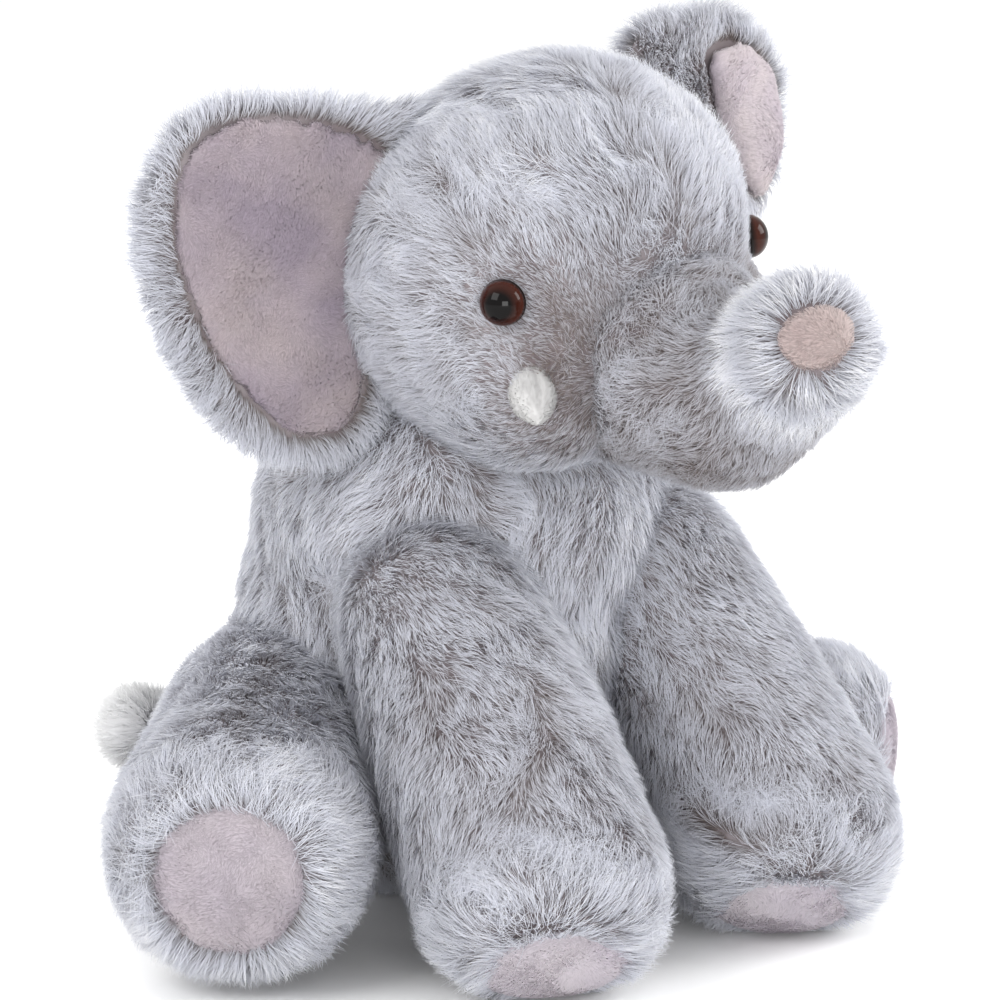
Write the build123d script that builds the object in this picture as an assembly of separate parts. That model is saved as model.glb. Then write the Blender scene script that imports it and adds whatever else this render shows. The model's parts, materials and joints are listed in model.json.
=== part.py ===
from build123d import *
import math
import os

# A seated plush elephant, in millimetres.
# The origin is the middle of the flat seat under the rump, +Z is up and the face looks along -Y.
# Its own right side is -X. Every stuffed piece is a sewn skin around loose stuffing, and every
# stuffed shape is the hull of two balls, because a filled tube of cloth rounds off like that.

# ---- driving dimensions -------------------------------------------------------------------
SKIN = 3.0                 # backing cloth with the dense base of the pile
FILL_GAP = 0.3             # loose stuffing stands this far inside its skin
BODY_GAP = 0.6             # room between two pieces that move against each other
PAD_THICK = 2.2            # short-pile pad cloth

RUMP_R = 60.0
RUMP = (0, 0, 50)
CHEST_R = 55.0
CHEST = (0, -12, 106)
PELLET_R = 22.0
PELLETS = (0, 26, 32)

HEAD_R = 54.0
HEAD = (0, -48, 184)
HEAD_TURN = 3.0            # degrees, the head is turned a little to its left
HEAD_TILT = -5.0           # degrees, and its left side is held a little higher
NECK_LEAN = 16.0           # degrees that the neck leans forward
NECK_DROP = 44.0           # from the middle of the head down the neck to its pivot
NECK_R = 18.0
NOD_DEG = 8.0              # largest nod either way

EYE_R = 6.4
EYE_AT = (-47, -31, 2)     # from the middle of the head, right side
SHANK_R = 1.8
SHANK_LONG = 9.0
WASHER_R = 6.5
WASHER_THICK = 1.2

TUSK_R = 6.8
TUSK_LONG = 15.0
TUSK_AT = (-41, -36, -27)
TUSK_POINTS = (-0.35, -0.62, -0.70)

# the trunk's balls, from the middle of the head: root, bend, rise and tip
TRUNK_BALLS = (((0, -42, -20), 30.0), ((-1, -66, -33), 28.0), ((-4, -84, -29), 24.5), ((-8, -93, -16), 21.0))
NOSTRIL_FACES = (-0.5, -0.8, 0.35)
NOSTRIL_R = 9.5
NOSTRIL_CUT = 17.5         # from the tip ball's middle to the flat end

EAR_THICK = 9.0
EAR_LINING_SCALE = 0.78    # the lining leaves a wide furry rim
EAR_AT = (56, 15, 4)       # root of an ear from the middle of the head
EAR_SWEEP = {"right": 17.0, "left": 7.0}    # degrees that each ear leans back
EAR_CLEAR = 2.5            # the ear's root stands off the head so it can flap
EAR_OUTLINE = ((-4, 44), (22, 50), (44, 44), (58, 26), (60, 6), (50, -16), (34, -36), (20, -46), (6, -46), (-4, -38))
EAR_MIDDLE = (27, 4)

SHOULDER_R = 27.5
SHOULDER = (38, -46, 92)
FRONT_FOOT_R = 31.0
FRONT_FOOT = (43, -94, 30)
FRONT_SOLE_CUT = 25.0
FRONT_SOLE_FACES = {"right": (-0.35, -0.75, -0.55), "left": (-0.12, -0.80, -0.55)}
FRONT_PAD_R = 19.0
FRONT_LEG_GAP = 3.4        # room round a front leg in the torso, so that it can lift 30 degrees

THIGH_R = 31.0
HIP = (52, 4, 48)
HIND_LONG = 66.0           # hip to the middle of the foot
HIND_FOOT_R = 32.0
HIND_FOOT_HIGH = 34.0
HIND_SPLAY = {"right": 50.0, "left": 44.0}  # degrees outward from straight ahead
HIND_SOLE_TURN = {"right": 44.0, "left": 44.0}
HIND_SOLE_CUT = 24.0
HIND_PAD_R = 20.5

TAIL_ROOT = (0, 66.5, 50)
TAIL_END = (-48, 62, 45)
TAIL_ROOT_R = 5.5
TAIL_END_R = 4.0
TUFT = (-62, 60, 43)
TUFT_R = 11.0

SIDES = {"right": -1, "left": 1}
FAR = 400.0


# ---- helpers ------------------------------------------------------------------------------
def unit(direction):
    return Vector(*direction).normalized()


def ball(middle, radius):
    return Pos(*middle) * Sphere(radius)


def stuffed(start, start_r, end, end_r):
    """The hull of two balls: two round ends and the cone that touches both."""
    axis = Vector(*end) - Vector(*start)
    long = axis.length
    lean = math.asin((start_r - end_r) / long)
    back = (0, -start_r)
    low = (start_r * math.cos(lean), start_r * math.sin(lean))
    high = (end_r * math.cos(lean), long + end_r * math.sin(lean))
    front = (0, long + end_r)
    half = (lean - math.pi / 2) / 2
    low_mid = (start_r * math.cos(half), start_r * math.sin(half))
    half = (lean + math.pi / 2) / 2
    high_mid = (end_r * math.cos(half), long + end_r * math.sin(half))
    edges = [
        ThreePointArc(back, low_mid, low),
        Line(low, high),
        ThreePointArc(high, high_mid, front),
        Line(front, back),
    ]
    profile = Plane.XZ * make_face(edges)
    return Plane(origin=start, z_dir=axis) * revolve(profile, Axis.Z, 360)


def behind(point, direction):
    """Everything behind the plane through a point that faces a direction."""
    block = Box(FAR, FAR, FAR, align=(Align.CENTER, Align.CENTER, Align.MAX))
    return Plane(origin=point, z_dir=direction) * block


def above(height):
    return Pos(0, 0, height) * Box(FAR, FAR, FAR, align=(Align.CENTER, Align.CENTER, Align.MIN))


def along(start, direction, distance):
    return Vector(*start) + unit(direction) * distance


def save(name, shape):
    solids = shape.solids()
    result = solids[0] if len(solids) == 1 else Compound(children=list(solids))
    export_step(result, f"parts/{name}.step")


def tell(joint, pivot, axis):
    """Each joint's pivot in millimetres and its axis, for the joint table."""
    numbers = [f"{value:.3f}" for value in (*Vector(*pivot), *unit(tuple(Vector(*axis))))]
    print("JOINT", joint, *numbers)


def side_of(point, sign):
    return (sign * point[0], point[1], point[2])


# ---- places worked out from the dimensions --------------------------------------------------
head_frame = Pos(*HEAD) * Rot(0, 0, HEAD_TURN) * Rot(0, HEAD_TILT, 0)
neck_axis = Vector(0, -math.sin(math.radians(NECK_LEAN)), math.cos(math.radians(NECK_LEAN)))
neck_pivot = Vector(*HEAD) - neck_axis * NECK_DROP
HEAD_SWEEP = NECK_DROP * math.sin(math.radians(NOD_DEG))


def on_head(point):
    return tuple((head_frame * Pos(*point)).position)


def head_direction(direction):
    return Vector(*on_head(direction)) - Vector(*HEAD)


def sole_direction(turn, sign, drop=-0.10):
    angle = math.radians(turn)
    return (sign * math.sin(angle), -math.cos(angle), drop)


def hind_foot(side):
    turn = math.radians(HIND_SPLAY[side])
    hip = side_of(HIP, SIDES[side])
    x = hip[0] + SIDES[side] * HIND_LONG * math.sin(turn)
    return (x, hip[1] - HIND_LONG * math.cos(turn), HIND_FOOT_HIGH)


# ---- limbs --------------------------------------------------------------------------------
def limb(root, root_r, foot, foot_r, sole_faces, sole_cut, shrink):
    """A stuffed limb with a flat sole, resting on the ground, taken in all round by shrink."""
    solid = stuffed(root, root_r - shrink, foot, foot_r - shrink)
    solid = solid & behind(along(foot, sole_faces, sole_cut - shrink), sole_faces)
    return solid & above(shrink)


def sole_pad(foot, faces, cut, radius):
    """A short-pile disc on the flat sole, trimmed where it would reach the ground."""
    disc = Cylinder(radius, PAD_THICK, align=(Align.CENTER, Align.CENTER, Align.MIN))
    pad = Plane(origin=along(foot, faces, cut), z_dir=faces) * disc
    return pad & above(0)


def front_leg(side, shrink=0.0):
    sign = SIDES[side]
    root = side_of(SHOULDER, sign)
    foot = side_of(FRONT_FOOT, sign)
    return limb(root, SHOULDER_R, foot, FRONT_FOOT_R, FRONT_SOLE_FACES[side], FRONT_SOLE_CUT, shrink)


def hind_leg(side, shrink=0.0):
    sign = SIDES[side]
    faces = sole_direction(HIND_SOLE_TURN[side], sign)
    root = side_of(HIP, sign)
    return limb(root, THIGH_R, hind_foot(side), HIND_FOOT_R, faces, HIND_SOLE_CUT, shrink)


def make_legs():
    for side, sign in SIDES.items():
        foot = side_of(FRONT_FOOT, sign)
        save(f"front_leg_{side}_skin", front_leg(side) - front_leg(side, SKIN))
        save(f"front_leg_{side}_stuffing", front_leg(side, SKIN + FILL_GAP))
        save(f"front_leg_{side}_sole_pad", sole_pad(foot, FRONT_SOLE_FACES[side], FRONT_SOLE_CUT, FRONT_PAD_R))
        tell(f"front_leg_{side}_lift", side_of(SHOULDER, sign), (-1, 0, 0))
        foot = hind_foot(side)
        faces = sole_direction(HIND_SOLE_TURN[side], sign)
        save(f"hind_leg_{side}_skin", hind_leg(side) - hind_leg(side, SKIN))
        save(f"hind_leg_{side}_stuffing", hind_leg(side, SKIN + FILL_GAP))
        save(f"hind_leg_{side}_sole_pad", sole_pad(foot, faces, HIND_SOLE_CUT, HIND_PAD_R))
        tell(f"hind_leg_{side}_splay", side_of(HIP, sign), (0, 0, sign))


# ---- torso --------------------------------------------------------------------------------
def torso(shrink):
    """The pear of rump and chest with hollows for the head, the neck and the four legs."""
    solid = stuffed(RUMP, RUMP_R - shrink, CHEST, CHEST_R - shrink) & above(shrink)
    room = BODY_GAP + shrink
    solid -= ball(HEAD, HEAD_R + HEAD_SWEEP + room)
    solid -= ball(neck_pivot, NECK_R + room)
    for side in SIDES:
        solid -= front_leg(side, -FRONT_LEG_GAP - shrink)
        solid -= hind_leg(side, -room)
    return solid


def make_torso():
    save("torso_skin", torso(0) - torso(SKIN))
    pellets = ball(PELLETS, PELLET_R) & above(SKIN + FILL_GAP)
    save("pellet_bag", pellets)
    stuffing = torso(SKIN + FILL_GAP) - ball(PELLETS, PELLET_R + FILL_GAP)
    save("torso_stuffing", stuffing)


# ---- neck and head ------------------------------------------------------------------------
def neck():
    """The plug of stuffing that fills the neck seam, between the hollow chest and the head."""
    return ball(neck_pivot, NECK_R)


def eye_line(sign):
    """Where the eye's washer face meets the head's skin, and the way the eye looks."""
    looks = head_direction(side_of(EYE_AT, -sign)).normalized()
    return along(HEAD, tuple(looks), HEAD_R), looks


def eye(sign):
    """A glossy dome on a shank that goes through the skin."""
    seat, looks = eye_line(sign)
    dome = Sphere(EYE_R) & above(0)
    shank = Cylinder(SHANK_R, SHANK_LONG, align=(Align.CENTER, Align.CENTER, Align.MAX))
    return Plane(origin=seat, z_dir=looks) * (dome + shank)


def eye_washer(sign, grow=0.0):
    """The locking washer that holds the shank inside the skin."""
    seat, looks = eye_line(sign)
    thick = WASHER_THICK + 2 * grow
    disc = Cylinder(WASHER_R + grow, thick, align=(Align.CENTER, Align.CENTER, Align.MAX))
    deep = SKIN + FILL_GAP + 0.2 - grow
    return Plane(origin=along(seat, tuple(looks), -deep), z_dir=looks) * disc


def shank_room(sign, room):
    seat, looks = eye_line(sign)
    hole = Cylinder(SHANK_R + room, 2 * SHANK_LONG + 2, align=(Align.CENTER, Align.CENTER, Align.CENTER))
    return Plane(origin=seat, z_dir=looks) * hole


def tusk(sign):
    """A small white bullet, sewn shut to a point, standing on the cheek."""
    root = on_head(side_of(TUSK_AT, -sign))
    points = head_direction(side_of(TUSK_POINTS, -sign))
    tip = along(root, tuple(points), TUSK_LONG)
    return stuffed(root, TUSK_R, tip, TUSK_R * 0.35) - ball(HEAD, HEAD_R)


def head(shrink):
    """The round head with hollows for the trunk's root and the neck plug."""
    solid = ball(HEAD, HEAD_R - shrink)
    solid -= trunk(-BODY_GAP - shrink)
    return solid - ball(neck_pivot, NECK_R + BODY_GAP + shrink)


def make_head():
    skin = head(0) - head(SKIN)
    stuffing = head(SKIN + FILL_GAP)
    for side, sign in SIDES.items():
        skin -= shank_room(sign, 0.1)
        stuffing -= shank_room(sign, FILL_GAP)
        stuffing -= eye_washer(sign, FILL_GAP)
        save(f"eye_{side}", eye(sign))
        save(f"eye_washer_{side}", eye_washer(sign) - shank_room(sign, 0.1))
        save(f"tusk_{side}", tusk(sign))
    save("head_skin", skin)
    save("head_stuffing", stuffing)
    save("neck_stuffing", neck())
    tell("neck_turn", neck_pivot, neck_axis)
    tell("head_nod", neck_pivot, (-1, 0, 0))


# ---- trunk --------------------------------------------------------------------------------
def trunk(shrink):
    """The curled trunk as three stuffed lengths, cut flat at the tip."""
    solid = None
    for (start, start_r), (end, end_r) in zip(TRUNK_BALLS, TRUNK_BALLS[1:]):
        length = stuffed(on_head(start), start_r - shrink, on_head(end), end_r - shrink)
        solid = length if solid is None else solid + length
    faces = tuple(head_direction(NOSTRIL_FACES))
    tip = on_head(TRUNK_BALLS[-1][0])
    return solid & behind(along(tip, faces, NOSTRIL_CUT - shrink), faces)


def make_trunk():
    save("trunk_skin", trunk(0) - trunk(SKIN))
    save("trunk_stuffing", trunk(SKIN + FILL_GAP))
    faces = tuple(head_direction(NOSTRIL_FACES))
    tip = on_head(TRUNK_BALLS[-1][0])
    disc = Cylinder(NOSTRIL_R, PAD_THICK, align=(Align.CENTER, Align.CENTER, Align.MIN))
    save("nostril_patch", Plane(origin=along(tip, faces, NOSTRIL_CUT), z_dir=faces) * disc)
    tell("trunk_lift", on_head(TRUNK_BALLS[0][0]), tuple(head_direction((-1, 0, 0))))


# ---- ears ---------------------------------------------------------------------------------
def ear_frame(side):
    """Local x runs out from the root, local y up and local z out of the ear's front."""
    sign = SIDES[side]
    sweep = math.radians(EAR_SWEEP[side])
    out = head_direction((sign * math.cos(sweep), math.sin(sweep), 0))
    up = head_direction((0, 0, 1))
    front = out.cross(up) * sign
    return out, up, front


def ear_sheet(side, scale, low, high):
    """A slab of the ear's outline between two heights over its front face."""
    out, up, front = ear_frame(side)
    centre = Vector(*EAR_MIDDLE)
    points = [centre + (Vector(*point) - centre) * scale for point in EAR_OUTLINE]
    curve = Spline(*points)
    edge = Line(curve @ 1, curve @ 0)
    slab = Pos(0, 0, low) * extrude(make_face([curve, edge]), high - low)
    root = on_head(side_of(EAR_AT, SIDES[side]))
    if SIDES[side] < 0:
        slab = mirror(slab, Plane.XZ)
    return Plane(origin=root, x_dir=out, z_dir=front) * slab - ball(HEAD, HEAD_R + EAR_CLEAR)


def make_ears():
    for side, sign in SIDES.items():
        out, up, front = ear_frame(side)
        save(f"ear_{side}_back", ear_sheet(side, 1.0, -EAR_THICK, 0))
        save(f"ear_{side}_lining", ear_sheet(side, EAR_LINING_SCALE, 0, PAD_THICK))
        pivot = Vector(*on_head(side_of(EAR_AT, sign))) - front * (EAR_THICK / 2)
        tell(f"ear_{side}_flap", pivot, up * sign)


# ---- tail ---------------------------------------------------------------------------------
def make_tail():
    """A thin stuffed tail that lies round the right side of the rump and ends in a tuft."""
    tuft = ball(TUFT, TUFT_R)
    tail = stuffed(TAIL_ROOT, TAIL_ROOT_R, TAIL_END, TAIL_END_R) - tuft
    save("tail_skin", tail)
    save("tail_tuft", tuft)
    tell("tail_swing", TAIL_ROOT, (0, 0, 1))


os.makedirs("parts", exist_ok=True)
make_torso()
make_legs()
make_head()
make_trunk()
make_ears()
make_tail()
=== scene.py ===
# %% [markdown]
# # A plush elephant that sits
# The toy is a set of sewn covers of long frosted faux fur, each round its own stuffing, with short-pile
# soles and ear linings, felt tusks and glossy safety eyes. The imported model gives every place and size:
# each visible piece below is made around it and rides on one of its bodies.

# %% Load the frame
import json
import math
import bmesh
import bpy
import numpy as np
from mathutils import Matrix, Vector


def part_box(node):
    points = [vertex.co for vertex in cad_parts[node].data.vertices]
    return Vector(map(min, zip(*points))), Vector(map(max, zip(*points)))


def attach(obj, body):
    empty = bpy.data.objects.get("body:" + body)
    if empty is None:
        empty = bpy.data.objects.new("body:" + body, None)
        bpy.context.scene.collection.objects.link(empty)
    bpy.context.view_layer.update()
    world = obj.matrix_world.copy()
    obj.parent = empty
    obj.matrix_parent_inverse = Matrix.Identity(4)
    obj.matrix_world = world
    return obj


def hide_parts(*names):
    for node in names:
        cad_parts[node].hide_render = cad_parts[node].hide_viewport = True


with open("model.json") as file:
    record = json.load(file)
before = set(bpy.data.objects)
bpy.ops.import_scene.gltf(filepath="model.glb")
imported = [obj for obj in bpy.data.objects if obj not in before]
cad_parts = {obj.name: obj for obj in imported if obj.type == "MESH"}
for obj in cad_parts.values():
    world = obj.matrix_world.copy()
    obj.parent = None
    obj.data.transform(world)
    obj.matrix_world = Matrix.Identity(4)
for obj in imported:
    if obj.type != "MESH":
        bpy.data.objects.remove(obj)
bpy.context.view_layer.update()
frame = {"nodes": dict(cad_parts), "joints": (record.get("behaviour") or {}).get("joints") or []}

MM = 0.001
SIDES = {"right": -1, "left": 1}

# %% [markdown]
# ## Camera and light
# A toy is best seen from its own eye level through a long lens, which keeps the big head from looking
# bigger still. The camera stands to the toy's right and a little above, and looks at the middle of it.

# %% Camera
CAMERA_TURN = math.radians(-40)      # round from straight ahead, towards the toy's right
CAMERA_RISE = math.radians(12)
CAMERA_AWAY = 1.2                    # metres
CAMERA_LENS = 157.7                  # mm on a 36 mm wide sensor
LOOK_AT = Vector((-0.0087, -0.037, 0.118))

back = Vector((
    math.sin(CAMERA_TURN) * math.cos(CAMERA_RISE),
    -math.cos(CAMERA_TURN) * math.cos(CAMERA_RISE),
    math.sin(CAMERA_RISE),
))
camera = bpy.data.objects.new("camera", bpy.data.cameras.new("camera"))
bpy.context.scene.collection.objects.link(camera)
camera.location = LOOK_AT + back * CAMERA_AWAY
camera.rotation_euler = back.to_track_quat("Z", "Y").to_euler()
camera.data.lens = CAMERA_LENS
camera.data.clip_start = 0.05
bpy.context.scene.camera = camera
print("camera at", [round(value, 3) for value in camera.location])

# %% [markdown]
# Fur needs light from the side: a softbox on each side rakes across the tips and leaves the roots dark,
# and a weak one in front only fills. A plain white room does the rest.

# %% Lights and floor
def softbox(name, place, width, power):
    lamp = bpy.data.lights.new(name, "AREA")
    lamp.shape = "SQUARE"
    lamp.size = width
    lamp.energy = power
    box = bpy.data.objects.new(name, lamp)
    bpy.context.scene.collection.objects.link(box)
    box.location = place
    box.rotation_euler = (Vector(place) - Vector((0, -0.03, 0.12))).to_track_quat("Z", "Y").to_euler()
    return box


softbox("softbox_left", (-1.25, -0.15, 0.95), 0.8, 9)
softbox("softbox_right", (0.95, -0.75, 0.75), 0.7, 11)
softbox("softbox_front", (-0.8, -1.3, 0.16), 0.7, 12)
softbox("softbox_back", (0.3, 1.0, 0.9), 0.7, 5)

FLOOR_HALF = 30.0                    # so far out that its edge is behind the toy
floor_mesh = bpy.data.meshes.new("floor")
corners = [
    (-FLOOR_HALF, -FLOOR_HALF), (FLOOR_HALF, -FLOOR_HALF),
    (FLOOR_HALF, FLOOR_HALF), (-FLOOR_HALF, FLOOR_HALF),
]
floor_mesh.from_pydata([(x, y, -0.0004) for x, y in corners], [], [(0, 1, 2, 3)])
floor = bpy.data.objects.new("floor", floor_mesh)
bpy.context.scene.collection.objects.link(floor)

world = bpy.data.worlds.new("white room")
world.use_nodes = True
world.node_tree.nodes["Background"].inputs["Color"].default_value = (1, 1, 1, 1)
world.node_tree.nodes["Background"].inputs["Strength"].default_value = 1.06
bpy.context.scene.world = world
bpy.context.scene.view_settings.view_transform = "Standard"

# %% [markdown]
# ## Finishes
# Each material is named for the cloth or plastic that it is. One function turns a colour as it is
# written on a swatch into the linear light that the renderer adds up, and one adds a node to a material.

# %% Material helpers
def linear(swatch):
    values = [int(swatch[i:i + 2], 16) / 255 for i in (1, 3, 5)]
    return tuple(v / 12.92 if v <= 0.04045 else ((v + 0.055) / 1.055) ** 2.4 for v in values) + (1.0,)


def node(tree, kind, inputs=None, **settings):
    """Add one node: its settings by name, then each input as a number, a colour or another node's output."""
    made = tree.nodes.new("ShaderNode" + kind)
    for key, value in settings.items():
        setattr(made, key, value)
    for key, value in (inputs or {}).items():
        if isinstance(value, bpy.types.NodeSocket):
            tree.links.new(value, made.inputs[key])
        else:
            made.inputs[key].default_value = value
    return made


def finish_of(name, roughness, **constants):
    """A new material with its shader's constants set, and the tree to paint it in."""
    made = bpy.data.materials.new(name)
    made.use_nodes = True
    shader = made.node_tree.nodes["Principled BSDF"]
    shader.inputs["Roughness"].default_value = roughness
    for key, value in constants.items():
        shader.inputs[key.replace("_", " ")].default_value = value
    return made, made.node_tree, shader


def set_ramp(ramp, stops):
    """Give a colour ramp its stops, as (place, swatch) from low to high."""
    elements = ramp.color_ramp.elements
    while len(elements) < len(stops):
        elements.new(1.0)
    for element, (place, swatch) in zip(elements, stops):
        element.position = place
        element.color = linear(swatch)


# %% [markdown]
# ** Frosted faux fur** is an acrylic pile knitted into a cloth backing. Its roots keep the dark dye, the
# shafts are mid grey and the tips are printed nearly white, so it looks pale where the tips lie close and
# dark where it parts. Every strand below carries three numbers: how far along it a point is, how strongly
# its place on the toy is frosted, with painted light and painted shade added to that in some places, and a
# number of its own, and the material reads its colour from those.
# Rough acrylic scatters light widely, so the roughness is high and a little sheen lifts the edges.

# Acrylic fibre is clear plastic with a little pigment, so nearly half of the light goes through a strand.
# Letting it through gives the fur its soft glow, and the strands look alike from both of their sides.

# %% Long pile
LET_THROUGH = 0.45


def let_through(tree, shader, colour):
    """Mix a shader with light that comes through from behind in the same colour."""
    through = node(tree, "BsdfTranslucent", {"Color": colour})
    both = node(tree, "MixShader", {0: LET_THROUGH, 1: shader.outputs[0], 2: through.outputs[0]})
    tree.links.new(both.outputs[0], tree.nodes["Material Output"].inputs["Surface"])
    tree.links.new(colour, shader.inputs["Base Color"])


def pile_material(name, stops, roughness=0.75, sheen=0.15):
    made, tree, shader = finish_of(name, roughness, IOR=1.49, Sheen_Weight=sheen, Sheen_Roughness=0.5)
    along = node(tree, "Attribute", attribute_name="along").outputs["Fac"]
    # The frosting read here also carries the painted light and painted shade that some covers add to it.
    frost_and_painted_light = node(tree, "Attribute", attribute_name="frost_and_painted_light").outputs["Fac"]
    own = node(tree, "Attribute", attribute_name="own").outputs["Fac"]
    spread = node(tree, "MapRange", {"Value": own, "To Min": -0.06, "To Max": 0.06}).outputs["Result"]
    place = node(tree, "Math", {0: along, 1: frost_and_painted_light}, operation="ADD").outputs[0]
    place = node(tree, "Math", {0: place, 1: spread}, operation="ADD", use_clamp=True).outputs[0]
    ramp = node(tree, "ValToRGB", {"Fac": place})
    set_ramp(ramp, stops)
    let_through(tree, shader, ramp.outputs["Color"])
    return made


FUR_STOPS = ((0.0, "#80746F"), (0.16, "#A5A0A2"), (0.38, "#C9C9D0"), (0.70, "#E0E2EA"), (1.0, "#FCFCFD"))
long_pile = pile_material("frosted acrylic pile", FUR_STOPS)
TUFT_STOPS = ((0.0, "#EDEDEF"), (0.5, "#F8F8FA"), (1.0, "#FEFEFE"))
tuft_pile = pile_material("white acrylic pile", TUFT_STOPS)

# %% [markdown]
# **Velboa** is the short, dense plush of the ear linings, the soles and the end of the trunk. It is
# brushed one way, so it shows soft clouds of lighter and darker nap some 15 mm across over a mauve dye.

# %% Short pile
def cloudy_colour(tree, cloud_mm, low, high, detail=3.0):
    """A colour that drifts between two swatches in soft clouds of about cloud_mm."""
    coords = node(tree, "TexCoord").outputs["Object"]
    cloud = node(tree, "TexNoise", {"Vector": coords, "Scale": 0.6 / (cloud_mm * MM), "Detail": detail})
    ramp = node(tree, "ValToRGB", {"Fac": cloud.outputs["Fac"]})
    set_ramp(ramp, ((0.34, low), (0.66, high)))
    return ramp.outputs["Color"], coords


def nap_material(name, low, high, cloud_mm=16.0):
    made, tree, shader = finish_of(name, 0.75, IOR=1.5, Sheen_Weight=0.35, Sheen_Roughness=0.45)
    colour = cloudy_colour(tree, cloud_mm, low, high)[0]
    along = node(tree, "Attribute", attribute_name="along").outputs["Fac"]
    own = node(tree, "Attribute", attribute_name="own").outputs["Fac"]
    value = node(tree, "MapRange", {"Value": own, "To Min": 0.95, "To Max": 1.04}).outputs["Result"]
    tip = node(tree, "MapRange", {"Value": along, "To Min": 0.88, "To Max": 1.04}).outputs["Result"]
    value = node(tree, "Math", {0: value, 1: tip}, operation="MULTIPLY").outputs[0]
    shaded = node(tree, "HueSaturation", {"Color": colour, "Value": value})
    let_through(tree, shader, shaded.outputs["Color"])
    return made


lining_naps = {
    "right": nap_material("mauve velboa", "#BBAFBC", "#D1C5C8"),
    # The far ear's lining is the same velboa, painted paler: painted light where the right-hand softbox falls on
    # it.
    "left": nap_material("mauve velboa, painted light on the far ear", "#D3C9D2", "#E6DDDE"),
}
sole_nap = nap_material("pale mauve velboa", "#D3CBD4", "#DFD7DC")
# The front soles are the same velboa as the hind ones, painted paler: painted light on soles that face down into
# shade.
front_sole_painted_light_nap = nap_material("palest mauve velboa", "#E6DFE7", "#F0EAEE")
nostril_nap = nap_material("rosy velboa", "#D3C3C1", "#E0D2CF", 8.0)

# %% [markdown]
# **Knitted backing** is the cloth that the pile grows from. It is dyed as dark as the roots and only
# shows in the partings. The knit's ribs are about 1 mm apart, and a bump of that spacing is enough.

# %% Backing cloth, filling and small parts
def cloth_material(name, low, high, rib_mm, bump=0.4, roughness=0.9):
    made, tree, shader = finish_of(name, roughness, IOR=1.5)
    colour, coords = cloudy_colour(tree, 12.0, low, high)
    ribs = node(tree, "TexWave", {"Vector": coords, "Scale": 1 / (rib_mm * MM * 20), "Distortion": 2.0})
    lift = node(tree, "Bump", {"Height": ribs.outputs["Fac"], "Strength": bump, "Distance": 0.3 * MM})
    tree.links.new(colour, shader.inputs["Base Color"])
    tree.links.new(lift.outputs["Normal"], shader.inputs["Normal"])
    return made


backing = cloth_material("knitted backing", "#6A6062", "#8B8486", 1.0)
tusk_felt = cloth_material("white brushed felt", "#B6B5B5", "#C6C5C4", 0.8, 0.25)
polyester = cloth_material("polyester fibre", "#E4E4E2", "#F7F7F5", 1.5, 0.8)
pellet_cloth = cloth_material("woven pellet bag", "#CFCBC0", "#DEDACF", 0.7, 0.5)


# %% [markdown]
# The **safety eye** is a moulded acrylic dome, polished like a lens: black in the middle with a dark
# brown iris that shows as a crescent where light falls through the dome. A hard clear skin over it gives
# the one sharp highlight. The washer behind it is plain polypropylene with a moulded grain.

# %% Eye and washer plastics
def eye_material(name, middle, looks, radius):
    made, tree, shader = finish_of(name, 0.05, IOR=1.49, Specular_IOR_Level=0.16)
    coords = node(tree, "TexCoord").outputs["Object"]
    offset = node(tree, "VectorMath", {0: coords, 1: middle}, operation="SUBTRACT").outputs["Vector"]
    depth = node(tree, "VectorMath", {0: offset, 1: looks}, operation="DOT_PRODUCT").outputs["Value"]
    share = node(tree, "Math", {0: depth, 1: radius}, operation="DIVIDE", use_clamp=True).outputs[0]
    ramp = node(tree, "ValToRGB", {"Fac": share})
    set_ramp(ramp, ((0.0, "#120A08"), (0.25, "#3E1D14"), (0.60, "#2C130D"), (0.78, "#050303")))
    tree.links.new(ramp.outputs["Color"], shader.inputs["Base Color"])
    return made


washer_made, washer_tree, washer_shader = finish_of("moulded polypropylene", 0.45, IOR=1.49)
washer_colour = cloudy_colour(washer_tree, 4.0, "#DDDDDA", "#ECECEA")[0]
washer_tree.links.new(washer_colour, washer_shader.inputs["Base Color"])

floor_made, floor_tree, floor_shader = finish_of("white paper sweep", 0.9, IOR=1.5)
floor_colour = cloudy_colour(floor_tree, 400.0, "#FBFBFB", "#FFFFFF")[0]
floor_tree.links.new(floor_colour, floor_shader.inputs["Base Color"])
floor_mesh.materials.append(floor_made)

# %% [markdown]
# ## Where the pieces go
# The joints sit where the covers are sewn together, so a joint's pivot is the root of its limb, and the
# flat side of each sole pad says where the limb ends and which way its sole looks.

# %% Places from the frame
joints = {joint["name"]: joint for joint in frame["joints"]}


def pivot(joint):
    return Vector(joints[joint]["pos_m"])


def turn_axis(joint):
    return Vector(joints[joint]["axis"]).normalized()


def middle(*nodes):
    boxes = [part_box(name) for name in nodes]
    low = Vector([min(box[0][i] for box in boxes) for i in range(3)])
    high = Vector([max(box[1][i] for box in boxes) for i in range(3)])
    return (low + high) / 2


def flat_side(pad, root):
    """A disc's middle and the way it faces, away from the limb's root: its thinnest direction."""
    points = np.array([v.co[:] for v in frame["nodes"][pad].data.vertices])
    centre = points.mean(axis=0)
    _, _, axes = np.linalg.svd(points - centre, full_matrices=False)
    faces = Vector(axes[2])
    if faces.dot(Vector(centre) - root) < 0:
        faces = -faces
    return Vector(centre), faces.normalized()


head_middle = middle("head_skin")
head_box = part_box("head_skin")
HEAD_R = (head_box[1][2] - head_box[0][2]) / 2
head_x = -turn_axis("trunk_lift")
head_z = turn_axis("ear_left_flap")
head_y = head_z.cross(head_x)
head_turned = Matrix((head_x, head_y, head_z)).transposed()


def on_head(x, y, z):
    """A place given in mm from the middle of the head, x to its left, y to its back, z up."""
    return head_middle + head_turned @ (Vector((x, y, z)) * MM)


print("head radius", round(HEAD_R * 1000, 1), "mm at", [round(c, 4) for c in head_middle])

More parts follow.
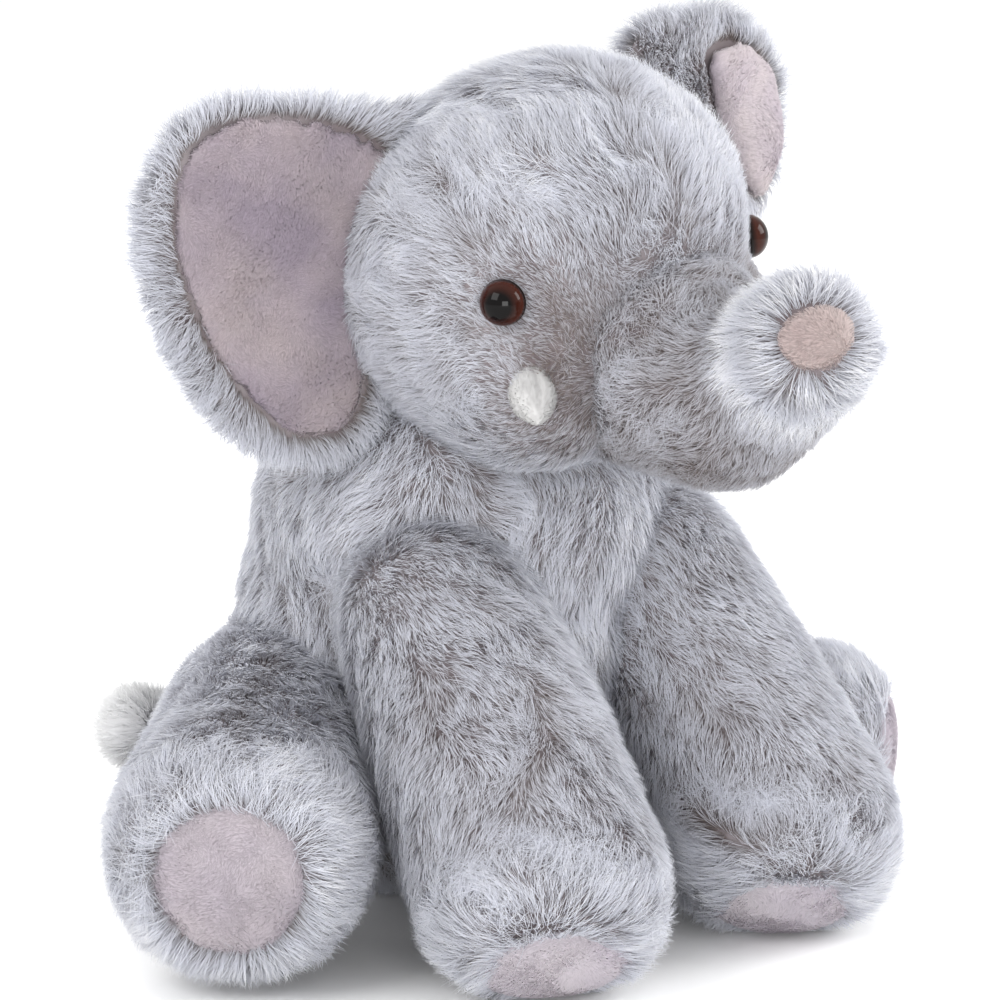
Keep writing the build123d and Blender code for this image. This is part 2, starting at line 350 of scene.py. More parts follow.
# %% [markdown]
# ## Sewn and stuffed covers
# A stuffed cover is round everywhere it isn't sewn. Each one starts as overlapping balls, which a voxel
# remesh makes one skin and smoothing blends, as a tailor's pattern does with darts. Then cloth simulation
# blows the skin up gently from inside while the seam lines are held back, so the panels crown between
# their seams. The result is capped to a few millimetres, so that a cover keeps its size.

# %% Cover helpers
def new_object(name, mesh):
    made = bpy.data.objects.new(name, mesh)
    bpy.context.scene.collection.objects.link(made)
    return made


def applied(made, *modifiers):
    """Add modifiers given as (kind, settings) and keep only the mesh that they leave."""
    for kind, settings in modifiers:
        modifier = made.modifiers.new(kind.lower(), kind)
        for key, value in settings.items():
            setattr(modifier, key, value)
    mesh = bpy.data.meshes.new_from_object(made.evaluated_get(bpy.context.evaluated_depsgraph_get()))
    made.modifiers.clear()
    made.data = mesh
    return made


def egg(centre, radii, turned=None):
    """One ball of the shape: its middle and radii in metres, and how it is turned."""
    return centre, radii, turned or Matrix.Identity(3)


def row_of_balls(places, radii, count=6):
    """Balls along a chain of places, close enough to blend into one stuffed tube."""
    balls = []
    for (start, end), (start_r, end_r) in zip(zip(places, places[1:]), zip(radii, radii[1:])):
        for i in range(count + 1):
            share = i / count
            radius = start_r + (end_r - start_r) * share
            balls.append(egg(start.lerp(end, share), (radius, radius, radius)))
    return balls


def blended(name, balls, voxel=2.6, smooth=10):
    """One smooth closed skin around all the balls."""
    shape = bmesh.new()
    for centre, radii, turned in balls:
        place = Matrix.Translation(centre) @ turned.to_4x4() @ Matrix.Diagonal((*radii, 1))
        bmesh.ops.create_icosphere(shape, subdivisions=4, radius=1, matrix=place)
    mesh = bpy.data.meshes.new(name)
    shape.to_mesh(mesh)
    shape.free()
    made = new_object(name, mesh)
    applied(made, ("REMESH", {"mode": "VOXEL", "voxel_size": voxel * MM}))
    applied(made, ("SMOOTH", {"factor": 0.5, "iterations": smooth}))
    return made


def points_of(made):
    points = np.empty(len(made.data.vertices) * 3)
    made.data.vertices.foreach_get("co", points)
    return points.reshape(-1, 3)


def normals_of(made):
    normals = np.empty(len(made.data.vertices) * 3)
    made.data.vertices.foreach_get("normal", normals)
    return normals.reshape(-1, 3)


def put_points(made, points):
    made.data.vertices.foreach_set("co", points.ravel())
    made.data.update()


def nearest_on(points, line):
    """The nearest place to each point on a run of straight stretches."""
    best = np.full(len(points), np.inf)
    found = np.zeros_like(points)
    line = np.array([tuple(place) for place in line])
    for start, end in zip(line, line[1:]):
        step = end - start
        share = np.clip((points - start) @ step / (step @ step), 0, 1)
        place = start + share[:, None] * step
        far = np.linalg.norm(points - place, axis=1)
        found[far < best] = place[far < best]
        best = np.minimum(best, far)
    return found


def distance_to_line(points, line):
    return np.linalg.norm(points - nearest_on(points, line), axis=1)


def pull_in(made, line, depth, width):
    """Draw a seam or a crease into a skin along a line, depth and width in mm."""
    points = points_of(made)
    near = np.exp(-(distance_to_line(points, line) / (width * MM)) ** 2)
    put_points(made, points - normals_of(made) * (near * depth * MM)[:, None])


SEAM_HALF = 3.2 * MM                 # cloth this near a seam is held by its stitches


def puffed(made, seams=(), pressure=4.0, most=3.0, frames=16):
    """Blow a skin up as cloth, held back near its seams, by no more than a few mm."""
    before = points_of(made)
    held = made.vertex_groups.new(name="seams")
    sewn = ()
    if seams:
        sewn = np.nonzero(sum((distance_to_line(before, seam) < SEAM_HALF) for seam in seams) > 0)[0]
    for i in sewn:
        held.add([int(i)], 1.0, "REPLACE")
    cloth = made.modifiers.new("cloth", "CLOTH")
    cloth.settings.quality = 4
    cloth.settings.mass = 0.3
    cloth.settings.use_pressure = True
    cloth.settings.uniform_pressure_force = pressure
    cloth.settings.effector_weights.gravity = 0
    cloth.settings.vertex_group_mass = "seams"
    cloth.collision_settings.use_collision = False
    for count in range(1, frames + 1):
        bpy.context.scene.frame_set(count)
    shown = made.evaluated_get(bpy.context.evaluated_depsgraph_get())
    after = np.empty(len(before) * 3)
    shown.data.vertices.foreach_get("co", after)
    after = after.reshape(-1, 3)
    made.modifiers.clear()
    made.vertex_groups.clear()
    bpy.context.scene.frame_set(1)
    moved = after - before
    far = np.linalg.norm(moved, axis=1)
    moved *= np.minimum(1, most * MM / np.maximum(far, 1e-9))[:, None]
    put_points(made, before + moved)
    print("puffed", made.name, "by up to", round(min(far.max() / MM, most), 1), "mm")
    return made


def above_floor(made, height=0.0006):
    """Flatten whatever would sink through the floor, as the weight of the toy does."""
    points = points_of(made)
    points[:, 2] = np.maximum(points[:, 2], height)
    put_points(made, points)


def covered(made, cloth):
    """A cover's last steps: one subdivision, smooth faces, its cloth and what it is."""
    applied(made, ("SUBSURF", {"levels": 1, "render_levels": 1}))
    made.data.shade_smooth()
    made.data.materials.clear()
    made.data.materials.append(cloth)
    return made


# %% [markdown]
# ## Pile
# The pile is real geometry: thousands of thin tapered strands, each a narrow blade with one bend, rooted
# at random places on a cover. Hair curves would be lighter, but blades are a plain mesh and keep their
# shape in any program. A strand leaves the cloth steeply, then leans over the way the maker brushed it.
# Neighbours lean together into small locks, and each blade is turned by its own angle, so some catch the
# light and some don't. The blades' normals lean towards the cloth's own, for the soft look of dense pile.

# %% Strand helpers
def drift(points, size_mm, seed, waves=9):
    """Smooth random vectors that change over about size_mm: a few plane waves added up."""
    dice = np.random.default_rng(seed)
    directions = dice.normal(size=(waves, 3))
    directions /= np.linalg.norm(directions, axis=1)[:, None]
    pace = 2 * math.pi / (size_mm * MM) * dice.uniform(0.6, 1.4, waves)
    phase = dice.uniform(0, 2 * math.pi, waves)
    swing = np.sin(points @ (directions * pace[:, None]).T + phase)
    return swing @ dice.normal(size=(waves, 3)) * math.sqrt(2 / waves)


def unit_rows(vectors):
    return vectors / np.maximum(np.linalg.norm(vectors, axis=1), 1e-12)[:, None]


def scattered(made, per_mm2, dice, keep=None):
    """Random places on a mesh, evenly by area, with the normals there."""
    mesh = made.data
    mesh.calc_loop_triangles()
    triangles = np.empty(len(mesh.loop_triangles) * 3, np.int32)
    mesh.loop_triangles.foreach_get("vertices", triangles)
    triangles = triangles.reshape(-1, 3)
    points, normals = points_of(made), normals_of(made)
    a, b, c = (points[triangles[:, i]] for i in range(3))
    areas = np.linalg.norm(np.cross(b - a, c - a), axis=1) / 2
    if keep is not None:
        areas = areas * keep((a + b + c) / 3)
    count = int(areas.sum() / MM ** 2 * per_mm2)
    pick = np.searchsorted(np.cumsum(areas) / areas.sum(), dice.random(count))
    pick = np.minimum(pick, len(areas) - 1)
    u, v = dice.random(count), dice.random(count)
    flip = u + v > 1
    u, v = np.where(flip, 1 - u, u), np.where(flip, 1 - v, v)
    w = 1 - u - v

    def mix(values):
        return sum(s[:, None] * values[triangles[pick, i]] for i, s in enumerate((w, u, v)))

    return mix(points), unit_rows(mix(normals))


def together(tips, cells_mm, dice, share):
    """Lean tips towards the middle of their lock: the lock is the strands that share one loose cell."""
    shifted = tips + drift(tips, 3 * cells_mm, int(dice.integers(1 << 30))) * cells_mm * MM * 0.35
    cell = np.floor((shifted + dice.random(3) * cells_mm * MM) / (cells_mm * MM)).astype(np.int64)
    key = cell[:, 0] * 73856093 ^ cell[:, 1] * 19349663 ^ cell[:, 2] * 83492791
    _, group = np.unique(key, return_inverse=True)
    size = np.bincount(group)
    centre = np.stack([np.bincount(group, tips[:, i]) / size for i in range(3)], axis=1)[group]
    return tips + (centre - tips) * share


def blades(name, roots, middles, tips, width, normals, dice, soft=0.92):
    """One mesh of two-step tapered blades."""
    count = len(roots)
    run = unit_rows(tips - roots)
    outward = unit_rows(normals - run * (normals * run).sum(axis=1)[:, None])
    side = np.cross(run, outward)
    angle = dice.uniform(-1.25, 1.25, count)[:, None]
    across = side * np.cos(angle) + outward * np.sin(angle)
    face = outward * np.cos(angle) - side * np.sin(angle)
    half = (width * MM / 2 * dice.uniform(0.7, 1.3, count))[:, None]
    rows = (roots - across * half, roots + across * half,
            middles - across * half * 0.8, middles + across * half * 0.8, tips)
    points = np.stack(rows, axis=1).reshape(-1, 3)
    first = np.arange(count)[:, None] * 5
    quads = first + np.array([[0, 1, 3, 2]])
    ends = first + np.array([[2, 3, 4]])
    corners = np.concatenate([quads.ravel(), ends.ravel()]).astype(np.int32)
    starts = np.concatenate([np.arange(count) * 4, count * 4 + np.arange(count) * 3]).astype(np.int32)
    mesh = bpy.data.meshes.new(name)
    mesh.vertices.add(len(points))
    mesh.vertices.foreach_set("co", points.astype(np.float32).ravel())
    mesh.loops.add(len(corners))
    mesh.loops.foreach_set("vertex_index", corners)
    mesh.polygons.add(2 * count)
    mesh.polygons.foreach_set("loop_start", starts)
    mesh.update(calc_edges=True)
    mesh.shade_smooth()
    shown = unit_rows(normals * soft + face * (1 - soft))
    mesh.normals_split_custom_set_from_vertices(np.repeat(shown, 5, axis=0))
    return mesh


def note(mesh, name, per_strand=None, per_point=None):
    """Write one number for each point, from one for each strand or one pattern for all."""
    count = len(mesh.vertices) // 5
    values = np.repeat(per_strand, 5) if per_point is None else np.tile(per_point, count)
    attribute = mesh.attributes.new(name, "FLOAT", "POINT")
    attribute.data.foreach_set("value", values.astype(np.float32))


PARTING_HALF = 6.5                  # mm to each side that a parting opens
MOST_STRANDS = 60000                # in one mesh; a bigger pile is laid as several


def grow(name, cover, material, length, per_mm2=3.0, width=0.25, rise=0.34, comb=None, keep=None,
         frost_and_painted_light=0.0, seed=1, lock_mm=3.4, lock=0.30, swirl=0.32, long_at=None, frost_and_painted_light_at=None,
         rise_at=None, partings=()):
    """Grow pile on a cover. length and width in mm; rise is how steeply it stands, 0 flat to 1 upright."""
    dice = np.random.default_rng(seed)
    roots, normals = scattered(cover, per_mm2, dice, keep)
    count = len(roots)
    brushed = comb(roots) if comb is not None else np.tile([0.0, 0.0, -1.0], (count, 1))
    brushed = brushed + (drift(roots, 34, seed + 1) + drift(roots, 13, seed + 4) * 0.6) * swirl
    parting_painted_shade = np.zeros(count)
    for line in partings:
        away = roots - nearest_on(roots, line)
        close = np.exp(-(np.linalg.norm(away, axis=1) / (PARTING_HALF * MM)) ** 2)
        brushed = brushed + unit_rows(away) * (close * 1.1)[:, None]
        parting_painted_shade = np.maximum(parting_painted_shade, close)
    brushed = brushed + dice.normal(size=(count, 3)) * 0.24
    brushed = unit_rows(brushed - normals * (brushed * normals).sum(axis=1)[:, None])
    stands = np.full(count, rise) if rise_at is None else rise_at(roots)
    stands = np.clip(stands + drift(roots, 9, seed + 2)[:, 0] * 0.07, 0.08, 1)[:, None]
    size = length * MM * dice.uniform(0.72, 1.12, count) * (1 if long_at is None else long_at(roots))
    size = size[:, None]
    first = unit_rows(normals * (stands + 0.35) + brushed * (1 - stands))
    second = unit_rows(normals * stands + brushed * (1.15 - stands))
    middles = roots + first * size * 0.45
    tips = middles + second * size * 0.55
    tips = together(tips, lock_mm, dice, lock)
    tips = together(tips, lock_mm * 2.3, dice, lock * 0.35)
    tips[:, 2] = np.maximum(tips[:, 2], 0.0003)
    middles[:, 2] = np.maximum(middles[:, 2], 0.0004)
    # How pale each strand is: its frosting, plus painted light and painted shade where a cover's function adds
    # them.
    pale = np.full(count, frost_and_painted_light) if frost_and_painted_light_at is None else frost_and_painted_light + frost_and_painted_light_at(roots)
    # Strands by a parting are painted darker: painted shade in the parting, where the dark roots also show.
    pale = pale + drift(roots, 14, seed + 3)[:, 0] * 0.05 - parting_painted_shade * 0.15
    own = dice.random(count)
    piles = []
    for batch in range(-(-count // MOST_STRANDS)):
        some = slice(batch * MOST_STRANDS, (batch + 1) * MOST_STRANDS)
        label = f"{name}_{batch + 1}"
        sunk = roots[some] - normals[some] * 0.3 * MM
        mesh = blades(label, sunk, middles[some], tips[some], width, normals[some], dice)
        note(mesh, "along", per_point=np.array([0.0, 0.0, 0.42, 0.42, 0.78]))
        note(mesh, "frost_and_painted_light", per_strand=pale[some])
        note(mesh, "own", per_strand=own[some])
        mesh.materials.append(material)
        piles.append(new_object(label, mesh))
    print(name, count, "strands")
    return piles


def belong(body_name, slot, *pieces):
    """Pieces, or lists of them, ride on one body; slot is not used."""
    for piece in pieces:
        for made in piece if isinstance(piece, list) else [piece]:
            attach(made, body_name)


def near(points, place, size_mm):
    """1 at a place, falling smoothly to 0 over about size_mm."""
    return np.exp(-(np.linalg.norm(points - np.array(place), axis=1) / (size_mm * MM)) ** 2)


def smoothly(values, low, high):
    share = np.clip((values - low) / (high - low), 0, 1)
    return share * share * (3 - 2 * share)


# %% [markdown]
# ## The body
# The pear of the body is one cover with a seam down the belly and another down the back. It is filled
# with polyester fibre, and a bag of pellets in the seat weighs it down so that the toy sits.

# %% Body cover
LOW_R = 0.0595
low_middle = Vector((0, 0, 0.056))
chest_middle = Vector((0, -0.010, 0.108))

body_balls = [
    egg(low_middle, (LOW_R, LOW_R, 0.056)),
    egg(chest_middle, (0.056, 0.055, 0.048)),
    egg(low_middle.lerp(chest_middle, 0.5), (0.057, 0.057, 0.052)),
]
body = blended("body_cover", body_balls, 3.0)
belly_seam = [Vector((0, -0.09, z * 0.01)) for z in range(2, 14)]
back_seam = [Vector((0, 0.07, z * 0.01)) for z in range(2, 14)]
puffed(body, [belly_seam, back_seam], most=2.0)
pull_in(body, back_seam, 2.0, 14)
above_floor(body)
covered(body, backing)
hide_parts("torso_skin")
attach(body, "torso")
print("body cover", len(body.data.vertices), "points")

# %% [markdown]
# Fur on a body is brushed downwards, away from the neck. Where the legs press against the belly the tips
# are pushed apart into partings, where the dark roots show. Low on the front, between the front legs, the
# pile is painted darker: painted shade under the chest.

# %% Body pile
BODY_PARTINGS = (
    ((-29, -52, 131), (-30, -55, 124), (-31, -55, 119)),
    ((-54, -19, 96), (-47, -40, 102), (-36, -53, 101), (-21, -60, 96)),
)
body_lines = [[Vector(place) * MM for place in line] for line in BODY_PARTINGS]


def downwards(roots):
    return np.tile([0.0, 0.0, -1.0], (len(roots), 1)) + drift(roots, 45, 70) * 0.4


def body_frost_and_painted_shade(roots):
    # low and front: the lower front of the body, painted darker as painted shade under the chest.
    low = smoothly(roots[:, 2], 0.075, 0.035)
    front = smoothly(-roots[:, 1], 0.0, 0.04)
    return 0.10 - 0.15 * low * front


body_fur = grow("body_pile", body, long_pile, 9.0, 3.0, 0.25, 0.32, downwards, seed=11, frost_and_painted_light_at=body_frost_and_painted_shade,
                partings=body_lines)
belong("torso", "pile_fur", body_fur)


# %% [markdown]
# ## The head
# The head is four crescent panels sewn into a ball. Its seams run over the crown and down from each eye
# to the corner of the mouth, and the long fur is brushed back from the trunk and parts along them.

# %% Head cover
head_balls = [
    egg(on_head(0, 3, -1), (0.0545, 0.0545, 0.0515)),
    egg(on_head(0, -4, 8), (0.050, 0.049, 0.047)),
    egg(on_head(-24, -18, -18), (0.029, 0.029, 0.029)),
    egg(on_head(24, -18, -18), (0.029, 0.029, 0.029)),
]
crown_seam = [on_head(0, -60 * math.cos(a), 56 * math.sin(a)) for a in np.linspace(0.15, math.pi - 0.5, 24)]
head = blended("head_cover", head_balls, 3.0)
puffed(head, [crown_seam], most=2.0)
pull_in(head, crown_seam, 0.7, 4)
HEAD_PARTINGS = (
    ((-38, 10, 42), (-45, -4, 36), (-49, -15, 27), (-49, -26, 15)),
    ((-49, -26, 15), (-44, -35, 13), (-40, -40, 9)),
    ((-27, -45, 23), (-27, -48, 16), (-18, -53, 11)),
    ((-18, -49, 25), (-19, -52, 17), (-16, -54, 10)),
    ((6, -21, 53), (-4, -35, 46), (-10, -42, 38)),
    ((-10, -42, 38), (-3, -47, 33), (3, -53, 22)),
    ((-40, -41, 3), (-38, -43, -8), (-42, -42, -16)),
)
head_lines = [[on_head(*place) for place in line] for line in HEAD_PARTINGS]
for line in head_lines:
    pull_in(head, line, 1.3, 5)
for sign in SIDES.values():
    socket = on_head(sign * 52, -34, 2)
    pull_in(head, [socket, socket + Vector((0, 0, 0.001))], 3.5, 11)
covered(head, backing)
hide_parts("head_skin")
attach(head, "head")

# %% [markdown]
# Round the eyes and on the cheeks the pile is clipped short, so that the eyes show and the face reads.
# On top it is left long and painted paler: painted light where the lamps fall on the crown. Along the crown
# seam it is painted a little darker: painted shade in the seam.

# %% Head pile
trunk_root = on_head(0, -52, -24)
eyes_at = {side: on_head(sign * 47, -31, 2) for side, sign in SIDES.items()}
tusks_at = {side: on_head(sign * 42, -36, -27) for side, sign in SIDES.items()}


def head_comb(roots):
    away = unit_rows(roots - np.array(trunk_root))
    off_crown = roots - np.array(head_middle)
    side = np.array(head_x)
    across = np.sign(off_crown @ side)[:, None] * side
    fringe = np.exp(-(np.abs(off_crown @ side) / 0.016) ** 2)[:, None]
    down = np.array([0, 0, -1.0])
    behind = smoothly(off_crown @ np.array(head_y), -0.005, 0.03)[:, None]
    return away + across * fringe * 0.3 + down * behind * 1.1


def head_long(roots):
    local = (roots - np.array(head_middle)) @ np.array(head_turned)
    face = smoothly(-local[:, 1], 0.012, 0.034) * smoothly(-local[:, 2], -0.030, 0.0)
    size = 1 - 0.42 * face
    for place in eyes_at.values():
        size = size * (1 - 0.6 * near(roots, place, 15))
    for place in tusks_at.values():
        size = size * (1 - 0.35 * near(roots, place, 13))
    return size


def head_frost_and_painted_light(roots):
    local = (roots - np.array(head_middle)) @ np.array(head_turned)
    face = smoothly(-local[:, 1], 0.026, 0.046) * smoothly(-local[:, 2], -0.012, 0.008)
    # top: the crown is painted paler, as painted light.
    top = smoothly(local[:, 2], 0.0, 0.035)
    # Along the crown seam the pile is painted darker: painted shade in the seam.
    seam_painted_shade = np.exp(-(distance_to_line(roots, crown_seam) / 0.0035) ** 2)
    return 0.03 + 0.12 * top - 0.34 * face - 0.06 * seam_painted_shade


head_fur = grow("head_pile", head, long_pile, 8.2, 3.8, 0.22, 0.34, head_comb, seed=21,
                long_at=head_long, frost_and_painted_light_at=head_frost_and_painted_light, partings=head_lines)
belong("head", "pile_fur", head_fur)

# %% [markdown]
# ## The trunk
# The trunk curls forward and up from the face and ends in a pompom of long fur round a rosy patch of
# short nap. Its underside is painted a little darker: painted shade under the trunk.

# %% Trunk cover
trunk_line = [on_head(*place) for place in ((0, -40, -20), (-1, -64, -27), (-4, -84, -20), (-8, -101, -8))]
trunk_radii = (0.0290, 0.0240, 0.0180, 0.0152)
trunk_balls = row_of_balls(trunk_line, trunk_radii)
trunk = blended("trunk_cover", trunk_balls, 2.4)
under_seam = [place + Vector((0, 0, -0.028)) for place in trunk_line]
puffed(trunk, [under_seam], most=1.5)
for share in (0.36, 0.66):
    ring_middle = trunk_line[1].lerp(trunk_line[2], share)
    way = (trunk_line[2] - trunk_line[1]).normalized()
    side = way.cross(Vector((0, 0, 1))).normalized()
    over = side.cross(way)
    crease = [ring_middle + (side * math.cos(a) + over * math.sin(a)) * 0.026
              for a in np.linspace(0.3, 2.8, 12)]
    pull_in(trunk, crease, 1.2, 3.5)
covered(trunk, backing)
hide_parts("trunk_skin")
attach(trunk, "trunk")

_, patch_faces = flat_side("nostril_patch", trunk_line[1])
patch_middle = trunk_line[3] + patch_faces * 0.0147
print("patch faces", [round(c, 2) for c in patch_faces], "at", [round(c, 4) for c in patch_middle])


# %% [markdown]
# A patch or a sole is a disc of velboa stitched down round its edge over the stuffing, which crowns it.
# The disc is drawn as rings that rise in the middle and tuck in at the stitching.

# %% Disc of nap
def disc(name, place, faces, across, up_hint, radius_a, radius_b, crown, edge_drop=1.6, rings=14, spokes=72):
    """An oval cushion: its half sizes are in metres, and crown and edge_drop are in mm."""
    faces = faces.normalized()
    one = (across - faces * across.dot(faces)).normalized()
    two = faces.cross(one)
    points = [place + faces * crown * MM]
    for ring in range(1, rings + 1):
        share = ring / rings
        rise = crown * (1 - share ** 2) - edge_drop * smoothly(np.array(share), 0.82, 1.0)
        for spoke in range(spokes):
            angle = 2 * math.pi * spoke / spokes
            wave = 1 + 0.02 * math.sin(3 * angle + up_hint) + 0.012 * math.sin(7 * angle)
            reach = one * math.cos(angle) * radius_a + two * math.sin(angle) * radius_b
            points.append(place + reach * share * wave + faces * float(rise) * MM)
    under = [place - faces * 3.5 * MM]
    faces_of = [(0, 1 + s, 1 + (s + 1) % spokes) for s in range(spokes)]
    for ring in range(rings - 1):
        low, high = 1 + ring * spokes, 1 + (ring + 1) * spokes
        faces_of += [(low + s, high + s, high + (s + 1) % spokes, low + (s + 1) % spokes) for s in range(spokes)]
    rim = 1 + (rings - 1) * spokes
    last = len(points)
    faces_of += [(last, rim + (s + 1) % spokes, rim + s) for s in range(spokes)]
    mesh = bpy.data.meshes.new(name)
    mesh.from_pydata([tuple(point) for point in points + under], [], faces_of)
    made = new_object(name, mesh)
    applied(made, ("SUBSURF", {"levels": 1, "render_levels": 1}))
    made.data.shade_smooth()
    return made


def nap_on(name, cushion, material, faces, length=1.4, per_mm2=10.0, seed=5, width=0.22):
    """Short nap, brushed one way, on the outer face of a cushion."""
    way = np.array(faces.normalized())
    brushed = np.array(faces.cross(Vector((0.3, 0.2, 1))).normalized())

    def comb(roots):
        return np.tile(brushed, (len(roots), 1)) + drift(roots, 16, seed + 9) * 0.9

    return grow(name, cushion, material, length, per_mm2, width, 0.36, comb, seed=seed, lock_mm=1.6, lock=0.3,
                swirl=0.5)


nostril = disc("nostril_cushion", patch_middle, patch_faces, head_x, 0.3, 0.0098, 0.0078, 1.6)
nostril.data.materials.append(nostril_nap)
nostril_fuzz = nap_on("nostril_nap", nostril, nostril_nap, patch_faces, 1.8, 10.0, 31, 0.2)
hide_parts("nostril_patch")
belong("trunk", "short_pile", nostril, nostril_fuzz)

# %% [markdown]
# The pompom's fur is the longest here. It radiates from the patch, with brown roots showing in a ring
# round it and pale tips outside.

# %% Trunk pile
patch_at = np.array(patch_middle)
patch_way = np.array(patch_faces)


def trunk_comb(roots):
    off = roots - patch_at
    radial = unit_rows(off - np.outer(off @ patch_way, patch_way))
    tip = smoothly(-np.linalg.norm(off, axis=1), -0.030, -0.017)[:, None]
    up_trunk = unit_rows(np.array(trunk_line[0]) - roots)
    return radial * tip + (up_trunk * 0.8 + np.array([0, 0, -0.35])) * (1 - tip)


def trunk_long(roots):
    far = np.linalg.norm(roots - patch_at, axis=1)
    tip = smoothly(-far, -0.036, -0.022)
    return 0.72 + 0.5 * tip


def trunk_rise(roots):
    off = roots - patch_at
    tip = smoothly(-np.linalg.norm(off, axis=1), -0.026, -0.014)
    return 0.34 + 0.20 * tip


def trunk_frost_and_painted_shade(roots):
    far = np.linalg.norm(roots - patch_at, axis=1)
    tip = smoothly(-far, -0.033, -0.020)
    ring = np.exp(-((far - 0.015) / 0.005) ** 2)
    # low: the underside of the trunk, painted darker as painted shade.
    low = smoothly(-(roots[:, 2] - trunk_line[1].z), 0.0, 0.02)
    return -0.18 + 0.60 * tip - 0.30 * ring * tip - 0.08 * low * (1 - tip)


def off_patch(centres):
    off = centres - patch_at
    height = off @ patch_way
    flat = np.linalg.norm(off - np.outer(height, patch_way), axis=1)
    return np.where((flat < 0.0082) & (height > -0.006), 0.0, 1.0)


trunk_fur = grow("trunk_pile", trunk, long_pile, 8.0, 3.8, 0.23, 0.45, trunk_comb, off_patch, seed=41,
                 long_at=trunk_long, frost_and_painted_light_at=trunk_frost_and_painted_shade, rise_at=trunk_rise)
belong("trunk", "pile_fur", trunk_fur)

# %% [markdown]
# ## Ears
# An ear is two cloths sewn face to face, turned, and lightly filled: fur outside and velboa inside. The
# fur side is cut larger, so it rolls over the edge as a pale rim, and the seam is the valley beside it.
# The ear hangs from the side of the head and cups forward a little.

# %% Ear shapes
RIM_OUTLINES = {
    "right": ((-26, 42), (-12, 45), (0, 48), (16, 51), (32, 52), (45, 47), (54, 33), (56, 17), (54, 3), (48, -13),
              (40, -29), (29, -39), (18, -44), (6, -45), (-4, -39), (-9, -20), (-16, 10)),
    "left": ((-16, 42), (-6, 49), (14, 49), (36, 45), (51, 35), (58, 21), (57, 8), (50, -6), (38, -14), (22, -18),
             (4, -18), (-10, -8), (-16, 16)),
}
LINING_OUTLINES = {
    "right": ((-14, 34), (0, 44), (17, 49), (33, 49), (43, 44), (48, 32), (49, 18), (46, 4), (41, -11), (32, -26),
              (22, -37), (12, -40), (3, -37), (-3, -26), (-6, -5), (-12, 20)),
    "left": ((18, 36), (27, 40), (38, 38), (51, 29), (56, 16), (53, 3), (46, -7), (38, -6), (30, 8), (22, 22)),
}
EAR_MIDDLE = (27, 4)                # the lining's middle, mm out from the ear's root and up
EAR_HUBS = {"right": (22, 5), "left": (42, 16)}
EARS_SET_BACK = {"right": (11, 14, -3), "left": (0, 4, 0)}    # mm: the head's fur covers their roots


def ear_axes(side):
    """Which ways an ear runs: out from the head, up, and forward through its lining."""
    box = frame["nodes"][f"ear_{side}_lining"]
    points = np.array([v.co[:] for v in box.data.vertices])
    centre = points.mean(axis=0)
    _, _, axes = np.linalg.svd(points - centre, full_matrices=False)
    forward = Vector(axes[2])
    if forward.y > 0:
        forward = -forward
    up = (head_z - forward * head_z.dot(forward)).normalized()
    out = forward.cross(up) if side == "right" else up.cross(forward)
    return Vector(centre), out.normalized(), up, forward.normalized()


def smooth_outline(outline, count=120):
    """A closed curve through corner points, spaced evenly."""
    corner = np.array(outline, float)
    total = len(corner)
    dense = []
    for i in range(total):
        p0, p1, p2, p3 = (corner[(i + k - 1) % total] for k in range(4))
        for t in np.linspace(0, 1, 20, endpoint=False):
            dense.append(0.5 * (2 * p1 + (p2 - p0) * t + (2 * p0 - 5 * p1 + 4 * p2 - p3) * t * t
                                + (3 * p1 - p0 - 3 * p2 + p3) * t ** 3))
    dense = np.array(dense)
    steps = np.linalg.norm(np.diff(np.vstack([dense, dense[:1]]), axis=0), axis=1)
    run = np.concatenate([[0], np.cumsum(steps)])
    where = np.linspace(0, run[-1], count, endpoint=False)
    closed = np.vstack([dense, dense[:1]])
    return np.stack([np.interp(where, run, closed[:, i]) for i in range(2)], axis=1)


def leaf(name, outline, centre2, place, axes, front, back, cup, rings=16):
    """A closed, lightly filled leaf: front and back are how far each side bulges, in mm."""
    out, up, forward = axes
    edge_points = smooth_outline(outline)
    spokes = len(edge_points)
    centre2 = np.array(centre2, float)
    half = np.abs(edge_points - centre2).max()
    rows = []
    for side_of_leaf, bulge in ((1, front), (-1, back)):
        for ring in range(rings + 1 if side_of_leaf == 1 else rings):
            share = ring / rings
            flat = centre2 + (edge_points - centre2) * share
            swell = bulge * (1 - share ** 2.6) ** 0.5
            bend = cup * (np.linalg.norm(flat - centre2, axis=1) / half) ** 2
            rows.append((flat, side_of_leaf * swell + bend))
    points = [place + out * (x * MM) + up * (y * MM) + forward * (z * MM)
              for flat, height in rows for (x, y), z in zip(flat, height)]
    faces_of = []

    def band(low, high, flip):
        for s in range(spokes):
            quad = (low + s, high + s, high + (s + 1) % spokes, low + (s + 1) % spokes)
            faces_of.append(quad[::-1] if flip else quad)

    for ring in range(rings):
        band(ring * spokes, (ring + 1) * spokes, False)
    back_first = (rings + 1) * spokes
    for ring in range(rings - 1):
        band(back_first + ring * spokes, back_first + (ring + 1) * spokes, True)
    band(back_first + (rings - 1) * spokes, rings * spokes, True)
    mesh = bpy.data.meshes.new(name)
    mesh.from_pydata([tuple(point) for point in points], [], faces_of)
    shape = bmesh.new()
    shape.from_mesh(mesh)
    bmesh.ops.remove_doubles(shape, verts=shape.verts, dist=0.00001)
    bmesh.ops.recalc_face_normals(shape, faces=shape.faces)
    shape.to_mesh(mesh)
    shape.free()
    return new_object(name, mesh)


